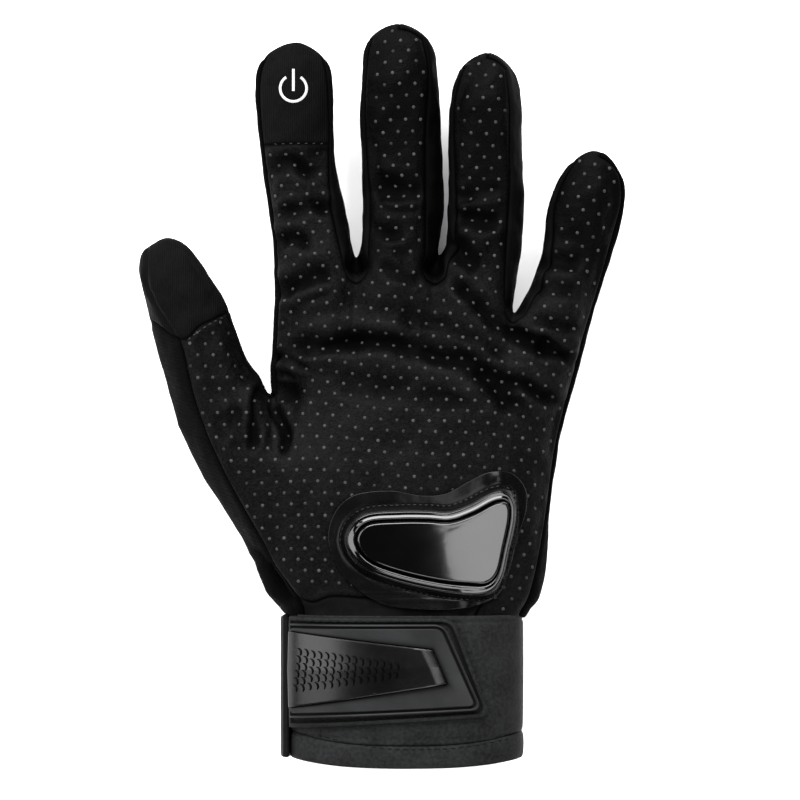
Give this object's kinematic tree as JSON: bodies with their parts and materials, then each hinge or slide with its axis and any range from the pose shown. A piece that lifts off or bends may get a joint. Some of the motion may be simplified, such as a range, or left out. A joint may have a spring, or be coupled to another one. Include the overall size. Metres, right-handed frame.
{
  "type": "full-finger riding glove",
  "caption": "Black left-hand full-finger glove, palm up, with dotted palm, touch tips, a glossy heel slider and a strapped cuff.",
  "frame": {"origin": "middle of the glove's box, on the surface that it lies on", "axes": "+Y from the cuff to the fingertips, +X towards the little finger, +Z out of the palm"},
  "size_m": [0.1602, 0.244, 0.0448],
  "materials": {
    "palm_cloth": "soft synthetic leather with small grip dots",
    "side_cloth": "smooth matte cloth",
    "back_knit": "ribbed matte knit",
    "touch_cloth": "fine matte knit",
    "cuff_neoprene": "matte foam-backed cloth",
    "strap_rubber": "satin moulded rubber",
    "slider_gloss": "polished black"
  },
  "bodies": {
    "root": {"palm_panel": "palm_cloth", "heel_band": "side_cloth", "back_panel": "back_knit", "index_touch_tip": "touch_cloth", "thumb_touch_tip": "touch_cloth", "thumb_gusset": "side_cloth", "fourchette_index_middle": "side_cloth", "fourchette_middle_ring": "side_cloth", "fourchette_ring_little": "side_cloth", "cuff_band": "cuff_neoprene", "cuff_hem": "cuff_neoprene", "cuff_side_flap": "cuff_neoprene", "closure_strap": "cuff_neoprene", "strap_plate": "strap_rubber", "slider_base": "slider_gloss", "slider_plate": "slider_gloss"}
  },
  "joints": []
}
